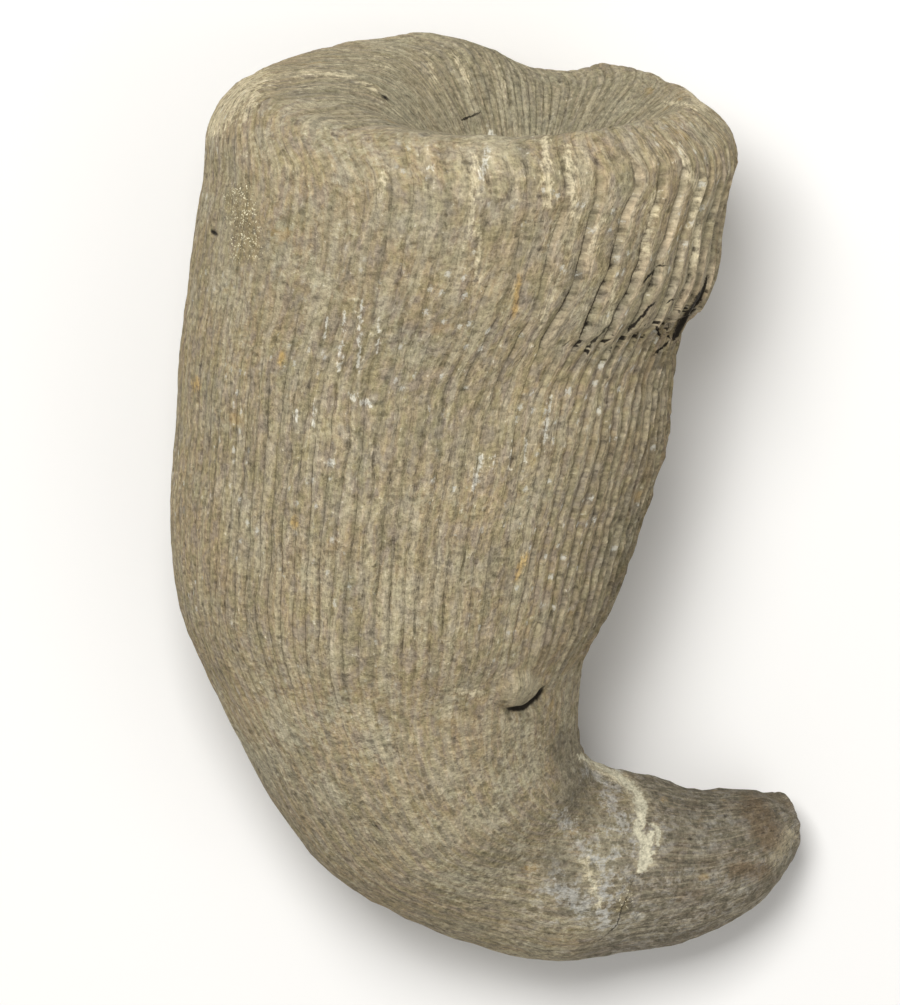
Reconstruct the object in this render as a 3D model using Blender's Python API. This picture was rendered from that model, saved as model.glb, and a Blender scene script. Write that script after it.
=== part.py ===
"""Fossil horn coral: one solid, lying on its side on a worn flat.

The horn is a loft. Each section is an oval drawn between a point on the outer (convex) side of
the bend and a point on its inner (hollow) side. Thin ridges run along the horn, roll over the rim
of the calice and drop into its pit. The calice faces +Y, the tip turns to +X, and +Z is up.
Angles run round a section from the inner side (0) over the upper face (90 degrees) to the outer
side (180) and back under the horn.
"""

import math

import bmesh
import bpy
from mathutils import Vector

MM = 0.001
NODE = "horn_coral"

# Sections from the calice to the broken tip, in millimetres: a point on the outer side (x, y), the
# point across from it on the inner side (x, y), and how far the oval dips below the floor.
SECTIONS = (
    (-15.0, 18.4, 13.4, 18.4, 0.3),
    (-15.7, 13.6, 12.2, 13.6, 0.7),
    (-16.4, 8.7, 10.4, 8.7, 1.1),
    (-16.8, 3.9, 9.8, 3.9, 1.3),
    (-17.0, -1.1, 8.5, -0.8, 1.3),
    (-16.7, -5.2, 7.2, -4.9, 1.2),
    (-15.2, -9.1, 5.6, -8.3, 0.9),
    (-13.5, -12.9, 5.1, -11.4, 0.5),
    (-11.5, -16.8, 5.0, -13.4, 0.2),
    (-8.6, -20.6, 5.3, -14.3, 0.0),
    (-3.2, -23.8, 5.8, -14.9, -0.1),
    (2.4, -25.8, 7.2, -15.4, -0.2),
    (7.3, -25.5, 8.9, -15.8, -0.3),
    (11.3, -24.8, 11.6, -16.7, -0.4),
    (14.7, -23.2, 14.3, -16.8, -0.4),
    (16.3, -21.3, 15.9, -17.2, -0.4),
)
DEPTH_AT_CALICE = 0.88  # height of a section over its width
DEPTH_AT_TIP = 0.94
AXIS_REACH = 0.9  # how far up and down the horn, in sections, its direction is read

# The last growth stage flares out on the inner side and ends below in a ledge.
FLARE_HEIGHT = 0.6  # millimetres
FLARE_STARTS = 0.5  # in sections
FLARE_ENDS = 1.36
LEDGE_STEP = 0.07  # over which it falls back to the wall
FLARE_ANGLE = 5.0  # degrees
FLARE_SPREAD = 70.0

# The lip, from the top of the wall over the rim and down the pit: half-width and half-height as
# shares of the first section's, shift to the inner side as a share of its half-width, and rise
# along the calice's axis in millimetres.
LIP = (
    (0.98, 0.98, -0.01, 2.0),
    (0.91, 0.92, -0.01, 3.4),
    (0.80, 0.80, 0.02, 4.2),
    (0.61, 0.62, 0.15, 3.8),
    (0.45, 0.42, 0.19, 2.3),
    (0.31, 0.24, 0.20, 0.2),
    (0.19, 0.07, 0.20, -1.8),
)
PIT_FLOOR_DIP = 0.2  # millimetres
CALICE_LEAN = math.radians(2.0)  # of the calice's axis, to the inner side
CALICE_TILT = 1.2  # millimetres that the rim is lower on the upper face and higher below
RIM_NOTCH = (285.0, 33.0, 1.5)  # angle, half-spread in degrees, depth in millimetres
RIM_SAG = (332.0, 85.0, 1.2)  # the low stretch of the rim round that notch

RIDGES = 88  # round the calice
SWEEP = 11.0  # degrees that the ridges lean to the inner side on the way to the calice
SWEEP_ANGLE = 45.0
SWEEP_SPREAD = 75.0
SWEEP_STARTS = 3.8
LOOP = 44.0  # how far the outer ridges loop round on their way over the rim
LOOP_ANGLE = 155.0
LOOP_SPREAD = 82.0
SPARSER_FROM = 8  # section from which every second ridge has died out
SPARSEST_FROM = 12
RIDGE_RELIEF = 0.42  # millimetres from the crest of a ridge to the groove beside it
LEAF_RELIEF = 0.8  # where the ridges stand out as leaves, on the flare
LEAF_ANGLE = 45.0  # degrees
LEAF_SPREAD = 55.0
TIP_RELIEF = 0.16
WORN_BELOW = 0.4  # millimetres over the floor up to which the ridges are worn away
UNWORN_ABOVE = 2.6

BREAK_ROWS = ((0.86, 0.5), (0.45, 0.75))  # the broken end: share of the last section, reach
BREAK_REACH = 0.6  # of its middle

WART_POSITION = 5.8  # in sections
WART_ANGLE = 54.5
WART_RADIUS = 1.28
WART_SEGMENTS = 16
WART_RINGS = 10
WART_SINK = 0.5

FLOOR_CUT_SIZE = 60.0
FLOOR_CUT_DEPTH = 6.0

STONE_COLOR = (0.34, 0.29, 0.20, 1.0)
STONE_ROUGHNESS = 0.9
SMOOTH_ANGLE = math.radians(50.0)


def clear_scene():
    for thing in list(bpy.data.objects):
        bpy.data.objects.remove(thing, do_unlink=True)


def collection_named(name):
    made = bpy.data.collections.new(name)
    bpy.context.scene.collection.children.link(made)
    return made


def stone_material():
    material = bpy.data.materials.new("grey_tan_stone")
    material.use_nodes = True
    shader = material.node_tree.nodes["Principled BSDF"]
    shader.inputs["Base Color"].default_value = STONE_COLOR
    shader.inputs["Roughness"].default_value = STONE_ROUGHNESS
    shader.inputs["Metallic"].default_value = 0.0
    return material


def smooth_step(value, low, high):
    share = min(max((value - low) / (high - low), 0.0), 1.0)
    return share * share * (3.0 - 2.0 * share)


def bell(angle, middle, spread):
    """1 at the middle angle, falling smoothly to 0 at the spread to either side (degrees)."""
    away = abs((angle - middle + 180.0) % 360.0 - 180.0)
    return 1.0 - smooth_step(away, 0.0, spread)


def between_sections(position, column):
    """A column of SECTIONS read as one smooth curve (Catmull-Rom)."""
    last = len(SECTIONS) - 1
    start = min(int(position), last - 1)
    share = position - start
    before, first, second, after = (
        SECTIONS[min(max(start + step, 0), last)][column] for step in (-1, 0, 1, 2)
    )
    bend = (2 * before - 5 * first + 4 * second - after) * share
    return first + 0.5 * share * (
        second - before + bend + (3 * (first - second) + after - before) * share * share
    )


def half_width(position):
    across = Vector(
        (
            between_sections(position, 2) - between_sections(position, 0),
            between_sections(position, 3) - between_sections(position, 1),
        )
    )
    return across.length / 2


def half_depth(position):
    narrowing = half_width(position) / half_width(0.0)
    return half_width(position) * (DEPTH_AT_TIP + (DEPTH_AT_CALICE - DEPTH_AT_TIP) * narrowing)


def centre(position):
    outer = Vector((between_sections(position, 0), between_sections(position, 1)))
    inner = Vector((between_sections(position, 2), between_sections(position, 3)))
    middle = (outer + inner) / 2
    return Vector((middle.x, middle.y, half_depth(position) - between_sections(position, 4)))


def axis_at(position):
    """The horn's own direction at a section, towards the calice."""
    last = len(SECTIONS) - 1
    above = centre(max(position - AXIS_REACH, 0.0))
    return (above - centre(min(position + AXIS_REACH, last))).normalized()


def side_at(position):
    """From the outer side to the inner side."""
    across = Vector(
        (
            between_sections(position, 2) - between_sections(position, 0),
            between_sections(position, 3) - between_sections(position, 1),
            0.0,
        )
    )
    return across.normalized()


def up_at(position):
    return side_at(position).cross(axis_at(position)).normalized()


def calice_axis():
    lean = Vector((math.sin(CALICE_LEAN), math.cos(CALICE_LEAN), 0.0))
    rise = axis_at(0.0).z
    return (lean * math.sqrt(1.0 - rise * rise) + Vector((0.0, 0.0, rise))).normalized()


def relief_at(position, angle):
    narrowing = half_width(position) / half_width(0.0)
    plain = TIP_RELIEF + (RIDGE_RELIEF - TIP_RELIEF) * narrowing
    leaf = bell(angle, LEAF_ANGLE, LEAF_SPREAD) * (position <= FLARE_ENDS)
    return plain + (LEAF_RELIEF - plain) * leaf


def ridged(point, inwards, relief, step):
    """A point of a section, drawn in by the groove's depth at every second step."""
    if step % 2 == 0:
        return point
    wear = smooth_step(point.z, WORN_BELOW, UNWORN_ABOVE)
    return point + inwards * (relief * wear)


def ridge_angle(position, step, count):
    """Degrees round the section at which a ridge or a groove runs; negative positions are on the lip."""
    angle = 360.0 * step / count
    sweep = SWEEP * (1.0 - smooth_step(position, -1.0, SWEEP_STARTS))
    loop = LOOP * smooth_step(-position, 0.5, 5.0)
    angle += loop * bell(angle, LOOP_ANGLE, LOOP_SPREAD) - sweep * bell(angle, SWEEP_ANGLE, SWEEP_SPREAD)
    return angle


def flare_at(position, angle):
    grown = smooth_step(position, FLARE_STARTS, FLARE_ENDS) * (position <= FLARE_ENDS)
    return FLARE_HEIGHT * grown * bell(angle, FLARE_ANGLE, FLARE_SPREAD)


def body_ring(position, count):
    """One section of the horn as a ring of points."""
    ring = []
    for step in range(count):
        angle = ridge_angle(position, step, count)
        turn = math.radians(angle)
        out = side_at(position) * (math.cos(turn) * half_width(position))
        out += up_at(position) * (math.sin(turn) * half_depth(position))
        point = centre(position) + out + out.normalized() * flare_at(position, angle)
        ring.append(ridged(point, -out.normalized(), relief_at(position, angle), step))
    return ring


def rim_drop(angle):
    notch_at, notch_spread, notch_depth = RIM_NOTCH
    sag_at, sag_spread, sag_depth = RIM_SAG
    return bell(angle, notch_at, notch_spread) * notch_depth + bell(angle, sag_at, sag_spread) * sag_depth


def lip_ring(row, count):
    """One ring of the rim or of the pit's wall."""
    wide, high, shift, rise = LIP[row]
    top_rise = max(entry[3] for entry in LIP)
    on_rim = smooth_step(rise, 0.0, top_rise)
    inward_share = smooth_step(row, 1.0, 3.5)
    depth_left = smooth_step(high, 0.0, 0.3)
    ring = []
    for step in range(count):
        angle = ridge_angle(-1.0 - row, step, count)
        turn = math.radians(angle)
        out = side_at(0.0) * ((math.cos(turn) * wide + shift) * half_width(0.0))
        out += up_at(0.0) * (math.sin(turn) * high * half_depth(0.0))
        drop = rim_drop(angle) + CALICE_TILT * math.sin(turn)
        point = centre(0.0) + out + calice_axis() * (rise - drop * on_rim)
        inwards = (-out.normalized() * (1 - inward_share) - calice_axis() * inward_share).normalized()
        relief = relief_at(0.0, angle) * depth_left
        ring.append(ridged(point, inwards, relief, step))
    return ring


def pit_bottom():
    _, _, shift, rise = LIP[-1]
    return centre(0.0) + side_at(0.0) * (shift * half_width(0.0)) + calice_axis() * (rise - PIT_FLOOR_DIP)


def break_rings(count):
    last = len(SECTIONS) - 1
    rings = []
    for share, reach in BREAK_ROWS:
        middle = centre(last) - axis_at(last) * reach
        rings.append([middle + (point - centre(last)) * share for point in body_ring(last, count)])
    return rings


def add_ring(mesh, points):
    return [mesh.verts.new(point * MM) for point in points]


def join_rings(mesh, upper, lower):
    """Faces between two rings; the lower one may have half as many points."""
    count = len(lower)
    every = len(upper) // count
    for step in range(count):
        after = (step + 1) % count
        if every == 1:
            mesh.faces.new((upper[step], lower[step], lower[after], upper[after]))
            continue
        mid = upper[2 * step + 1]
        mesh.faces.new((upper[2 * step], lower[step], mid))
        mesh.faces.new((mid, lower[step], lower[after], upper[(2 * step + 2) % len(upper)]))


def ring_size(position):
    if position < SPARSER_FROM:
        return 2 * RIDGES
    return RIDGES if position < SPARSEST_FROM else RIDGES // 2


def close_ring(mesh, ring, point):
    """A fan of faces from one point to every side of a ring."""
    middle = mesh.verts.new(point * MM)
    for step, corner in enumerate(ring):
        mesh.faces.new((corner, middle, ring[(step + 1) % len(ring)]))


def loft_mesh():
    mesh = bmesh.new()
    lip = [add_ring(mesh, lip_ring(row, 2 * RIDGES)) for row in reversed(range(len(LIP)))]
    positions = sorted([FLARE_ENDS, FLARE_ENDS + LEDGE_STEP, *range(len(SECTIONS))])
    wall = [add_ring(mesh, body_ring(position, ring_size(position))) for position in positions]
    end = [add_ring(mesh, points) for points in break_rings(ring_size(len(SECTIONS) - 1))]
    rings = lip + wall + end
    for upper, lower in zip(rings, rings[1:]):
        join_rings(mesh, upper, lower)
    last = len(SECTIONS) - 1
    close_ring(mesh, rings[0], pit_bottom())
    close_ring(mesh, rings[-1], centre(last) - axis_at(last) * BREAK_REACH)
    bmesh.ops.recalc_face_normals(mesh, faces=mesh.faces)
    bmesh.ops.triangulate(mesh, faces=[face for face in mesh.faces if len(face.verts) > 3])
    return mesh


def finish_object(name, mesh, collection):
    data = bpy.data.meshes.new(name)
    mesh.to_mesh(data)
    mesh.free()
    made = bpy.data.objects.new(name, data)
    collection.objects.link(made)
    return made


def add_boolean(target, tool, operation):
    cut = target.modifiers.new(tool.name, "BOOLEAN")
    cut.object = tool
    cut.operation = operation
    cut.solver = "EXACT"
    tool.hide_render = True
    tool.display_type = "WIRE"


def wart_tool(collection):
    """The round wart that sits on the upper face, above the bend."""
    turn = math.radians(WART_ANGLE)
    out = side_at(WART_POSITION) * (math.cos(turn) * half_width(WART_POSITION))
    out += up_at(WART_POSITION) * (math.sin(turn) * half_depth(WART_POSITION))
    place = centre(WART_POSITION) + out - out.normalized() * WART_SINK
    mesh = bmesh.new()
    bmesh.ops.create_uvsphere(
        mesh, u_segments=WART_SEGMENTS, v_segments=WART_RINGS, radius=WART_RADIUS * MM
    )
    bmesh.ops.translate(mesh, verts=mesh.verts, vec=place * MM)
    return finish_object("wart", mesh, collection)


def floor_tool(collection):
    """The block that takes off the worn flat under the horn."""
    mesh = bmesh.new()
    bmesh.ops.create_cube(mesh, size=1.0)
    size = Vector((FLOOR_CUT_SIZE, FLOOR_CUT_SIZE, FLOOR_CUT_DEPTH)) * MM
    bmesh.ops.scale(mesh, verts=mesh.verts, vec=size)
    bmesh.ops.translate(mesh, verts=mesh.verts, vec=(0.0, 0.0, -FLOOR_CUT_DEPTH * MM / 2))
    return finish_object("floor_cut", mesh, collection)


def middle_of(body):
    """The middle of the horn's outline on the floor, which is the part's origin."""
    reach = [(min(values), max(values)) for values in zip(*(corner[:2] for corner in body.bound_box))]
    return Vector((sum(reach[0]) / 2, sum(reach[1]) / 2, 0.0))


def main():
    clear_scene()
    coral = collection_named("fossil_horn_coral")
    cutters = collection_named("cutters")
    body = finish_object(NODE, loft_mesh(), coral)
    body.data.materials.append(stone_material())
    wart = wart_tool(cutters)
    body.location = wart.location = -middle_of(body)
    add_boolean(body, wart, "UNION")
    add_boolean(body, floor_tool(cutters), "DIFFERENCE")
    body.data.shade_smooth()
    body.data.set_sharp_from_angle(angle=SMOOTH_ANGLE)


main()
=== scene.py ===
"""Looks of a fossil horn coral: the ridged horn as a fine mesh, its stone finish and a plain stage.

Lengths in the tables are millimetres; Blender's own units are metres. Angles run round a section
of the horn from its inner side (0) over the upper face (90) to its outer side (180). A place along
the horn is a number of sections: 0 is the top of the wall, 15 the broken tip, and negative places
go over the rim and down into the pit of the calice.
"""

import math

import bmesh
import bpy
import numpy as np
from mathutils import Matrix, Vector, noise


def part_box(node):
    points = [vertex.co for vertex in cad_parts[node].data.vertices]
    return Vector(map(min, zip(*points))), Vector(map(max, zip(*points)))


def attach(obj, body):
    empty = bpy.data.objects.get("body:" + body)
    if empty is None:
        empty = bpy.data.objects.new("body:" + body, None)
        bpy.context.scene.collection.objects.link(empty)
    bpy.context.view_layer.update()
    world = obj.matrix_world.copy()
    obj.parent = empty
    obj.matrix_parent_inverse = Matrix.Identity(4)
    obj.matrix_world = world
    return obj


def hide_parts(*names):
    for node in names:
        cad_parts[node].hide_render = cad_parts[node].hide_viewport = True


bl_info = {
    "name": "Fossil Horn Coral",
    "version": (1, 0, 0),
    "blender": (4, 5, 0),
    "location": "3D View > Sidebar > Coral",
    "description": "Builds a fossil horn coral with its stone finish, and a plain stage for it",
    "category": "Object",
}

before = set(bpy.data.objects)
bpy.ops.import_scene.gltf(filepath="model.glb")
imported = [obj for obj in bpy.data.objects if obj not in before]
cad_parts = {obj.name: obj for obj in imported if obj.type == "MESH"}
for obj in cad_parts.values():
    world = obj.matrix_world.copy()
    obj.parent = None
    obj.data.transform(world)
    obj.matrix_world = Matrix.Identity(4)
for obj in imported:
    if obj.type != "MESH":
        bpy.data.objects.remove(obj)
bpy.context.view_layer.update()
NODE = "horn_coral"
MM = 0.001

# Sections from the calice to the tip: a point on the outer side (x, y), the point across from it on
# the inner side (x, y), and how far the oval dips below the floor.
SECTIONS = np.array(
    (
        (-15.0, 18.4, 13.4, 18.4, 0.3),
        (-15.7, 13.6, 12.2, 13.6, 0.7),
        (-16.4, 8.7, 10.4, 8.7, 1.1),
        (-16.8, 3.9, 9.8, 3.9, 1.3),
        (-17.0, -1.1, 8.5, -0.8, 1.3),
        (-16.7, -5.2, 7.2, -4.9, 1.2),
        (-15.2, -9.1, 5.6, -8.3, 0.9),
        (-13.5, -12.9, 5.1, -11.4, 0.5),
        (-11.5, -16.8, 5.0, -13.4, 0.2),
        (-8.6, -20.6, 5.3, -14.3, 0.0),
        (-3.2, -23.8, 5.8, -14.9, -0.1),
        (2.4, -25.8, 7.2, -15.4, -0.2),
        (7.3, -25.5, 8.9, -15.8, -0.3),
        (11.3, -24.8, 11.6, -16.7, -0.4),
        (14.7, -23.2, 14.3, -16.8, -0.4),
        (16.3, -21.3, 15.9, -17.2, -0.4),
    )
)
LAST = len(SECTIONS) - 1
DEPTH_AT_CALICE = 0.88  # height of a section over its width
DEPTH_AT_TIP = 0.94

# The lip, from the top of the wall over the rim and down the pit: half-width and half-height as
# shares of the first section's, shift to the inner side, and rise along the calice's axis.
LIP = np.array(
    (
        (1.00, 1.00, 0.00, 0.0),
        (0.98, 0.98, -0.01, 2.0),
        (0.91, 0.92, -0.01, 3.4),
        (0.80, 0.80, 0.02, 4.2),
        (0.61, 0.62, 0.15, 3.8),
        (0.45, 0.42, 0.19, 2.3),
        (0.31, 0.24, 0.20, 0.2),
        (0.19, 0.07, 0.20, -1.8),
    )
)
RIM_RISE = LIP[:, 3].max()
CALICE_LEAN = math.radians(2.0)
CALICE_TILT = 1.2  # how much lower the rim is on its upper side
RIM_NOTCH = (285.0, 33.0, 1.5)  # angle, half-spread, depth
RIM_SAG = (332.0, 85.0, 1.2)
PIT_FLOOR_DIP = 0.2

# Rings of the mesh: from one place to the next, in this many steps.
RING_RUNS = (
    (-7.0, -5.0, 5),
    (-5.0, 0.0, 22),
    (0.0, 1.3, 22),
    (1.3, 1.75, 10),
    (1.75, 3.0, 15),
    (3.0, 5.0, 16),
    (5.0, 5.4, 3),
    (5.4, 6.3, 19),
    (6.3, 9.0, 15),
    (9.0, 12.0, 17),
    (12.0, 15.0, 18),
)
HALVED_FROM = 12.0  # place from which a ring has half the points
ACROSS_A_RIDGE = (0.0, 0.12, 0.38, 0.68, 0.88, 0.96)  # where the points of one ridge lie


def smooth_step(value, low, high):
    """0 up to low, 1 from high on, smooth between."""
    share = np.clip((value - low) / (high - low), 0.0, 1.0)
    return share * share * (3.0 - 2.0 * share)


def smooth_fall(value, low, high):
    """1 up to low, 0 from high on, smooth between."""
    return 1.0 - smooth_step(value, low, high)


def stretch(place, start, full, fading, end):
    """1 along the horn from full to fading, 0 before the start and beyond the end."""
    return smooth_step(place, start, full) * smooth_fall(place, fading, end)


def turned(angle):
    """The same angle, from -180 to 180."""
    return (angle + 180.0) % 360.0 - 180.0


def span(angle, low, high, fade):
    """1 between two angles, falling smoothly to 0 over the fade beyond them."""
    away = np.abs(turned(angle - (low + high) / 2))
    return smooth_fall(away, (high - low) / 2, (high - low) / 2 + fade)


def bell(angle, middle, spread):
    """1 at the middle angle, falling smoothly to 0 at the spread to either side."""
    return span(angle, middle, middle, spread)


def read_smoothly(table, place):
    """A row of a table at a place between its rows (Catmull-Rom)."""
    last = len(table) - 1
    start = min(int(place), last - 1)
    share = place - start
    before, first, second, after = (
        table[min(max(start + step, 0), last)] for step in (-1, 0, 1, 2)
    )
    bend = (2 * before - 5 * first + 4 * second - after) * share
    return first + 0.5 * share * (
        second - before + bend + (3 * (first - second) + after - before) * share * share
    )


def rows_of(x, y=0.0, z=0.0):
    """Points in rows, from coordinates that are lists or single numbers."""
    return np.stack(np.broadcast_arrays(x, y, z), axis=1)


def unit(vectors):
    return vectors / np.maximum(np.linalg.norm(vectors, axis=-1, keepdims=True), 1e-12)


def field(points, size, seed):
    """Smooth noise from -1 to 1 at these points, with lumps of about this size in mm."""
    shift = Vector((seed * 17.3, seed * 5.9, seed * 11.7))
    flat = points.reshape(-1, 3) / size
    values = [noise.noise(Vector(point) + shift) for point in flat]
    return np.array(values).reshape(points.shape[:-1])


class Horn:
    """The horn's plain form, without ridges."""

    @staticmethod
    def across(place):
        row = read_smoothly(SECTIONS, place)
        return np.array((row[2] - row[0], row[3] - row[1], 0.0))

    def half_width(self, place):
        return np.linalg.norm(self.across(place)) / 2

    def half_depth(self, place):
        wide = self.half_width(place)
        narrowing = wide / self.half_width(0.0)
        return wide * (DEPTH_AT_TIP + (DEPTH_AT_CALICE - DEPTH_AT_TIP) * narrowing)

    def middle(self, place):
        row = read_smoothly(SECTIONS, place)
        height = self.half_depth(place) - row[4]
        return np.array(((row[0] + row[2]) / 2, (row[1] + row[3]) / 2, height))

    def axis(self, place):
        step = 0.9
        return unit(self.middle(max(place - step, 0.0)) - self.middle(min(place + step, LAST)))

    def calice_axis(self):
        rise = self.axis(0.0)[2]
        flat = math.sqrt(1.0 - rise * rise)
        return np.array((math.sin(CALICE_LEAN) * flat, math.cos(CALICE_LEAN) * flat, rise))

    def side(self, place):
        return self.across(place) / 2

    def up(self, place):
        return unit(np.cross(self.across(place), self.axis(place))) * self.half_depth(place)

    def ring(self, place, angles):
        """Points of the plain form round one place."""
        turn = np.radians(angles)[:, None]
        if place >= 0.0:
            middle, side, up = self.middle(place), self.side(place), self.up(place)
            return middle + np.cos(turn) * side + np.sin(turn) * up
        wide, high, shift, rise = read_smoothly(LIP, -place)
        on_rim = smooth_step(rise, 0.0, RIM_RISE)
        drop = rim_drop(angles)[:, None] + CALICE_TILT * np.sin(turn)
        point = self.middle(0.0) + self.side(0.0) * (np.cos(turn) * wide + shift)
        point = point + self.up(0.0) * (np.sin(turn) * high)
        return point + self.calice_axis() * (rise - drop * on_rim)


def rim_drop(angles):
    notch_at, notch_spread, notch_depth = RIM_NOTCH
    sag_at, sag_spread, sag_depth = RIM_SAG
    notch = bell(angles, notch_at, notch_spread) * notch_depth
    return notch + bell(angles, sag_at, sag_spread) * sag_depth


def ring_places():
    places = [RING_RUNS[0][0]]
    for start, end, steps in RING_RUNS:
        places += [start + (end - start) * (step + 1) / steps for step in range(steps)]
    return np.array(places)


# Ridges
RIDGES = 104
SWEEP = 11.0  # degrees that they lean to the inner side on the way to the calice
SWEEP_ANGLE = 45.0
SWEEP_SPREAD = 75.0
SWEEP_STARTS = 3.8  # place from which they start to lean
LOOP = 44.0  # how far the outer ridges loop round on their way over the rim
LOOP_ANGLE = 155.0
LOOP_SPREAD = 82.0
WANDER_LENGTH = 3.2  # from one bend of a ridge to the next
VIGOUR_LENGTH = 3.4  # from where a ridge is high to where it is low
EDGES_APART, RIDGES_APART, LEAVES_APART = 3.7, 5.3, 7.1  # so that neighbours share no noise
CREST_ROUNDNESS = 0.35  # low for flat-topped ridges with narrow grooves
BLADE_SHARE = 0.7  # depth beside a blade, as a share of that beside a leaf
BLADE_LEAN = 0.16  # how far a blade's edge hangs over the next one
GAP_AT = 0.035  # where the gap lies beyond a leaf's edge, in leaves
LEAF_STARTS = 0.2  # place on the inner side at which the ridges turn into leaves
LEAF_EARLIER = 1.2  # how much closer to the rim they do so on the upper face
SWELLING, LUMP, KNOB, GRIT = 5.0, 1.7, 0.75, 0.45  # sizes of the unevenness
WORN_BELOW = 0.4  # height over the floor up to which the relief is worn flat
UNWORN_ABOVE = 2.6

# How much paler or darker the colour is made, as a share of its brightness. The darkening on the
# inner side, round the inner bend and down round the bend is painted shade.
RIM_PALER = 0.04
NECK_DARKER = 0.11
WAIST_PALER = 0.12
BEND_PAINTED_SHADE = 0.05
INNER_BEND_PAINTED_SHADE = 0.09
TIP_DARKER = 0.12
INNER_PAINTED_SHADE = 0.15

# The last growth stage flares out on the inner side and ends in a ledge.
FLARE_STARTS = 0.5
FLARE_ENDS = 1.36
LEDGE_STEP = 0.07
LEDGE_SLANT = 0.22  # sections that the ledge drops between the inner side and the upper face
LEDGE_HANGS = 0.46  # how much lower the innermost leaf reaches
LEDGE_RAGGED = 0.18  # how far it strays up and down, in sections
LEDGE_JAG = 4.0  # degrees round the horn from one jag to the next
TORN_BELOW = 0.05  # how far below the ledge the ridges are torn most, in sections
TORN_REACH = 0.17
FLARE_ANGLE = 5.0
FLARE_SPREAD = 70.0
FLARE_BEVEL = 0.7  # how much of the flare is worn off at the lowest point of the ledge

WART_PLACE = 5.8
WART_ANGLE = 54.5
WART_RISE = 0.55  # height of the dome, in radii
WART_ROUNDNESS = 0.75
WART_LEANS = np.array((0.36, -0.05))  # from the dome's middle to that of its edge, from above
WART_DITCH_FACES = np.array((0.45, -0.89))
WART_DITCH_DEPTH = 0.35
WART_DITCH_WIDTH = 0.25
WART_NEAR = 3.0  # beyond which it doesn't show in the finish

# Rings of the broken end: size as a share of the last section's, and how far beyond it.
BREAK_RINGS = ((0.97, 0.22), (0.90, 0.42), (0.74, 0.60), (0.52, 0.70), (0.28, 0.72), (0.10, 0.66))
BREAK_MIDDLE = 0.62
BREAK_STEP = 0.35  # from ring to ring, along the ridges' map
BREAK_TONE = 0.9
BREAK_TRAITS = 0.4  # share of the last ring's traits that the break keeps

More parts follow.
